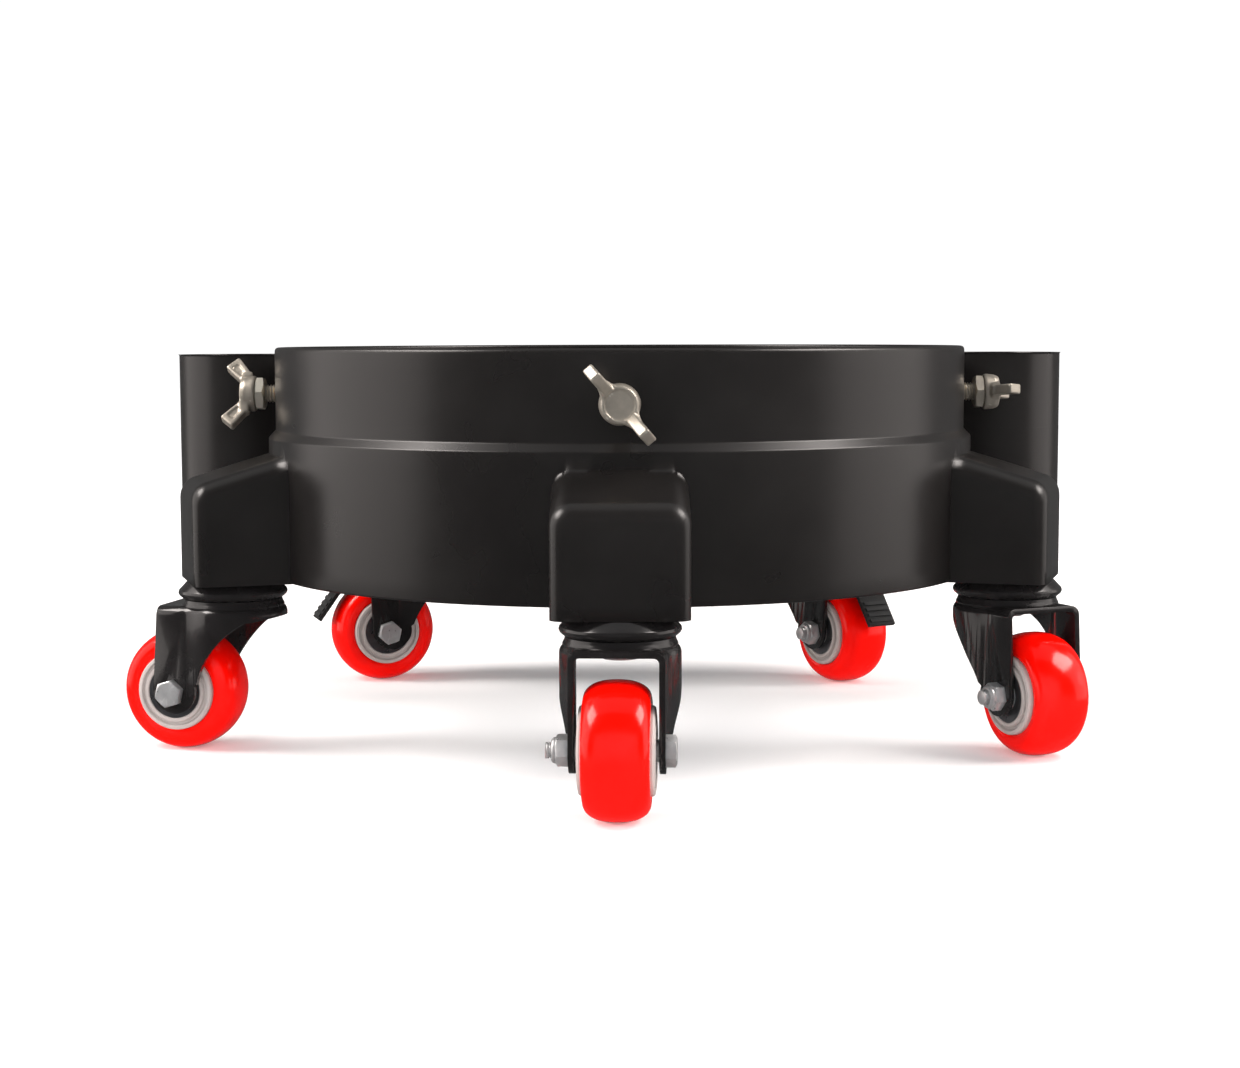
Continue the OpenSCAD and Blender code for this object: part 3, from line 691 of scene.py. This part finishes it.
def wing_head():
    """The cast head: hub, two wings with thick roots, and a sunk face, blended by a fine remesh."""
    section = [(0, 0), (7.4, 0), (7.7, 0.8), (7.4, 4.4), (6.6, 6.3), (5.8, 6.6), (5.5, 6.3), (0, 6.25)]
    head = mesh("head", *lathe(section, 64))
    first = wing()
    root = [(3, -4.2), (6.0, -3.8), (7.8, -2.8), (10.5, -1.9), (10.5, 1.9), (7.8, 2.8), (6.0, 3.8), (3, 4.2)]
    boolean(first, [mesh("root", *prism(root, 2.2, 6.5, 0.8, 0.8))], "UNION")
    second = first.copy()
    second.data = first.data.copy()
    second.data.transform(rot("Z", 180))
    bpy.context.scene.collection.objects.link(second)
    boolean(head, [first, second], "UNION")
    boolean(head, [mesh("face", *cylinder_part(5.6, 5.9, 20))], "DIFFERENCE")
    step = head.modifiers.new("cast", "REMESH")
    step.mode, step.voxel_size, step.adaptivity = "VOXEL", 0.34 * MM, 0
    step = head.modifiers.new("soften", "SMOOTH")
    step.factor, step.iterations = 0.6, 5
    apply_modifiers(head)
    return head


def screw_place(side):
    joint = JOINTS["screw_turn_" + side]
    outwards = -Vector(joint["axis"])
    turn = math.degrees(math.atan2(outwards.y, outwards.x))
    base = Vector(joint["pos_m"])
    return Matrix.Translation(base) @ rot("Z", turn) @ rot("Y", 90) @ rot("Z", WING_TURN[side])


def wing_screws():
    model = wing_head()
    for side in SCREWS:
        place = screw_place(side)
        head = model.copy()
        head.data = model.data.copy()
        head.data.transform(place)
        bpy.context.scene.collection.objects.link(head)
        rod = mesh("rod", *thread(SCREW_R, SCREW_PITCH, -20, 1.5, 48), place, 50)
        screw = merge("wing_head_" + side, [head, rod])
        shade(screw, 60)
        finish(screw, NICKEL, "nickel_steel", "screw_" + side, "wing_screw_" + side)
        nut = hex_part("jam_nut_" + side, NUT_FLATS, -4, -0.05, 4.05, 0, (0, 1), place)
        finish(nut, NICKEL, "nickel_steel", "screw_" + side, "lock_nut_" + side)
    bpy.data.objects.remove(model)


# ------------------------------------------------------------------ CAD pieces that show as they are

def cad_finishes():
    looks = {"brass": BRASS, "zinc_steel": ZINC, "bearing_steel": BEARING, "nylon": NYLON,
             "black_steel": BLACK_STEEL, "body_plastic": PLASTIC, "wheel_tread": RED, "wheel_core": GREY,
             "nickel_steel": NICKEL}
    slots = {s["node"]: s["material_slot"] for s in frame["record"]["subparts"]}
    for name, obj in frame["nodes"].items():
        obj.data.materials.clear()
        obj.data.materials.append(looks[slots[name]])
    for side in BRAKED:
        frame["nodes"]["brake_pedal_" + side].data.materials[0] = PEDAL_BLACK
        for node in ("brake_pedal_", "brake_rivets_", "brake_spring_"):
            step = frame["nodes"][node + side].modifiers.new("edges", "BEVEL")
            step.width, step.segments, step.limit_method = 0.25 * MM, 2, "ANGLE"


# ------------------------------------------------------------------ stage

FLOOR_GLOW = 0.18
FLOOR_HALF = 6000
WARM, COOL = (1.0, 0.93, 0.89), (0.95, 0.97, 1.0)


def stage():
    """A pale floor that glows a little, more with distance, so that it fades into the white world."""
    corners = [(x, y, 0) for x, y in rectangle(-FLOOR_HALF, FLOOR_HALF, -FLOOR_HALF, FLOOR_HALF)]
    floor = mesh("floor", corners, [(0, 1, 2, 3)], from_floor(0))
    floor.visible_glossy = False
    paint = bpy.data.materials.new("pale_floor")
    paint.use_nodes = True
    nodes, links = paint.node_tree.nodes, paint.node_tree.links
    shader = nodes["Principled BSDF"]
    shader.inputs["Base Color"].default_value = (0.88, 0.87, 0.87, 1)
    shader.inputs["Roughness"].default_value = 0.8
    shader.inputs["Specular IOR Level"].default_value = 0.0
    shader.inputs["Emission Color"].default_value = (1, 0.985, 0.985, 1)
    place = nodes.new("ShaderNodeTexCoord")
    reach = nodes.new("ShaderNodeVectorMath")
    reach.operation = "LENGTH"
    links.new(place.outputs["Object"], reach.inputs[0])
    glow = nodes.new("ShaderNodeMapRange")
    glow.interpolation_type = "SMOOTHSTEP"
    for key, value in (("From Min", 0.25), ("From Max", 1.1), ("To Min", FLOOR_GLOW), ("To Max", 1.05)):
        glow.inputs[key].default_value = value
    links.new(reach.outputs["Value"], glow.inputs["Value"])
    links.new(glow.outputs["Result"], shader.inputs["Emission Strength"])
    floor.data.materials.append(paint)


def area_light(name, place, target, size, power, colour=(1, 1, 1)):
    light = bpy.data.lights.new(name, "AREA")
    light.shape, light.size, light.size_y = "RECTANGLE", size[0], size[1]
    light.energy, light.color = power, colour
    obj = bpy.data.objects.new(name, light)
    obj.location = place
    obj.rotation_euler = (Vector(target) - Vector(place)).to_track_quat("-Z", "Y").to_euler()
    bpy.context.scene.collection.objects.link(obj)
    return obj


def lighting():
    """Softboxes and keys at both sides, one overhead, and fills that give no reflection."""
    area_light("softbox_left", (-1.15, -0.03, 0.36), (0, 0.0, 0.1), (1.25, 1.1), 5.6, WARM)
    area_light("softbox_right", (1.15, -0.02, 0.36), (0, 0.0, 0.1), (1.0, 1.1), 4.0, WARM)
    area_light("key_left", (-1.0, -0.2, 1.0), (0, 0, 0.05), (0.7, 0.55), 14, WARM)
    area_light("key_right", (1.0, -0.2, 1.0), (0, 0, 0.05), (0.7, 0.55), 14, WARM)
    area_light("overhead", (0, 0.0, 1.6), (0, 0, 0), (2.2, 1.3), 3)
    fill = area_light("front_fill", (0, -1.7, 0.4), (0, 0, 0.05), (3.0, 1.4), 36, COOL)
    for end in (-1, 1):
        low = area_light("low_side", (1.6 * end, -0.05, 0.42), (0, 0.02, 0), (0.4, 0.3), 17)
        low.visible_glossy = False
    fill.visible_glossy = False
    world = bpy.data.worlds.new("studio")
    world.use_nodes = True
    nodes, links = world.node_tree.nodes, world.node_tree.links
    background = nodes["Background"]
    background.inputs["Color"].default_value = (1, 1, 1, 1)
    way = nodes.new("ShaderNodeSeparateXYZ")
    links.new(nodes.new("ShaderNodeTexCoord").outputs["Generated"], way.inputs["Vector"])
    room = nodes.new("ShaderNodeMapRange")
    for key, value in (("From Min", -0.6), ("From Max", 0.7), ("To Min", 0.03), ("To Max", 0.12)):
        room.inputs[key].default_value = value
    links.new(way.outputs["Y"], room.inputs["Value"])
    seen = nodes.new("ShaderNodeMix")
    links.new(nodes.new("ShaderNodeLightPath").outputs["Is Camera Ray"], seen.inputs["Factor"])
    links.new(room.outputs["Result"], seen.inputs["A"])
    seen.inputs["B"].default_value = 1.05
    links.new(seen.outputs["Result"], background.inputs["Strength"])
    bpy.context.scene.world = world


def camera():
    """The photo's viewpoint, fitted from the object's own edges."""
    lens_mm, sensor_mm = 62.2, 36.0
    pitch, roll, height = -5.32, -0.17, 170.0
    data = bpy.data.cameras.new("camera")
    data.lens, data.sensor_width, data.sensor_fit = lens_mm, sensor_mm, "HORIZONTAL"
    data.clip_start, data.clip_end = 0.02, 50
    obj = bpy.data.objects.new("camera", data)
    obj.matrix_world = (Matrix.Translation((0, -0.928, FLOOR + height * MM))
                        @ rot("X", 90 + pitch) @ rot("Z", roll))
    bpy.context.scene.collection.objects.link(obj)
    bpy.context.scene.camera = obj


camera()
cad_finishes()
body_moulding()
races()
for name in SIDES:
    caster(name)
wing_screws()
stage()
lighting()
bpy.context.scene.view_settings.view_transform = "Standard"
